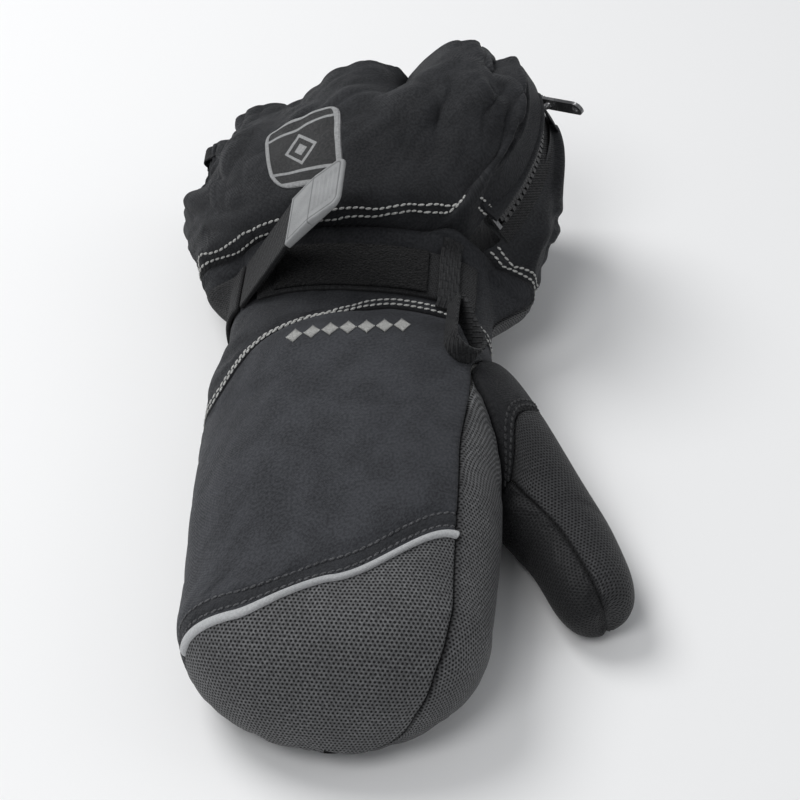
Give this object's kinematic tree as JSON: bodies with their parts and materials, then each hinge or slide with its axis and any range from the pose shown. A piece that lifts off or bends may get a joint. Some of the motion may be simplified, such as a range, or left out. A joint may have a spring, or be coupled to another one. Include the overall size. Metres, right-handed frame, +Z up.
{
  "type": "ski mitten",
  "caption": "Padded right-hand ski mitten with gauntlet cuff, zip at the thumb side, wrist strap with moulded tab, hang loop and textured grip palm.",
  "frame": {"origin": "on the resting plane, under the middle of the palm", "axes": "+X to the thumb side, +Y from the fingertips to the gauntlet's mouth, +Z up, away from the palm"},
  "size_m": [0.1771, 0.284, 0.1008],
  "materials": {
    "shell_fabric": "smooth plain weave, matt",
    "grip_synthetic": "synthetic, embossed with small dimples",
    "reflective_piping": "glass-bead reflective",
    "wadding_fleece": "lofted fibre",
    "membrane_film": "thin film on knit",
    "lining_fabric": "brushed knit",
    "elastic_tape": "woven elastic",
    "webbing": "grosgrain ribs",
    "hook_and_loop": "pile and hooks",
    "tab_rubber": "moulded, matt",
    "zip_tape": "woven tape",
    "zip_teeth": "moulded teeth, satin",
    "zip_metal": "dark nickel, satin",
    "badge_fabric": "woven badge with a light edge"
  },
  "bodies": {
    "mitten": {"back_panel": "shell_fabric", "tip_panel": "grip_synthetic", "side_gusset": "grip_synthetic", "palm_panel": "grip_synthetic", "wrist_yoke": "shell_fabric", "wrist_under": "grip_synthetic", "thumb_gore": "shell_fabric", "thumb_grip_upper": "grip_synthetic", "thumb_grip_lower": "grip_synthetic", "gauntlet_back": "shell_fabric", "gauntlet_under": "shell_fabric", "hem_casing": "shell_fabric", "hem_elastic": "elastic_tape", "piping": "reflective_piping", "wadding": "wadding_fleece", "membrane_insert": "membrane_film", "hand_lining": "lining_fabric", "cuff_lining": "lining_fabric", "wrist_elastic": "elastic_tape", "wrist_belt": "webbing", "loop_pile": "hook_and_loop", "strap_anchor": "webbing", "strap_keeper": "webbing", "zip_tape_back": "zip_tape", "zip_tape_under": "zip_tape", "zip_teeth_back": "zip_teeth", "zip_teeth_under": "zip_teeth", "zip_stops": "zip_metal", "zip_flap": "shell_fabric", "zip_gusset": "lining_fabric", "badge": "badge_fabric"},
    "slider": {"zip_slider": "zip_metal"},
    "puller": {"zip_puller": "zip_metal"},
    "strap": {"strap_tongue": "webbing", "hook_patch": "hook_and_loop", "strap_tab": "tab_rubber"},
    "loop": {"hang_loop": "webbing"}
  },
  "joints": [
    {"name": "zip_travel", "type": "hinge", "parent": "mitten", "child": "slider", "pos_m": [0.00026, 0.17, 0.03172], "axis": [-0.5299, 0, 0.848], "range_deg": [-48.5, 0], "deforming": ["zip_teeth_back", "zip_teeth_under", "zip_tape_back", "zip_tape_under"]},
    {"name": "puller_swing", "type": "hinge", "parent": "slider", "child": "puller", "pos_m": [0.06176, 0.18768, 0.07015], "axis": [-0.5299, 0, 0.848], "range_deg": [-26, 120]},
    {"name": "strap_fold", "type": "hinge", "parent": "mitten", "child": "strap", "pos_m": [-0.04766, 0.0975, 0.04653], "axis": [0, -1, 0], "range_deg": [-10, 110]},
    {"name": "loop_swing", "type": "hinge", "parent": "mitten", "child": "loop", "pos_m": [0.03053, 0.079, 0.05671], "axis": [-0.9781, -0.2079, 0], "range_deg": [0, 88]}
  ]
}
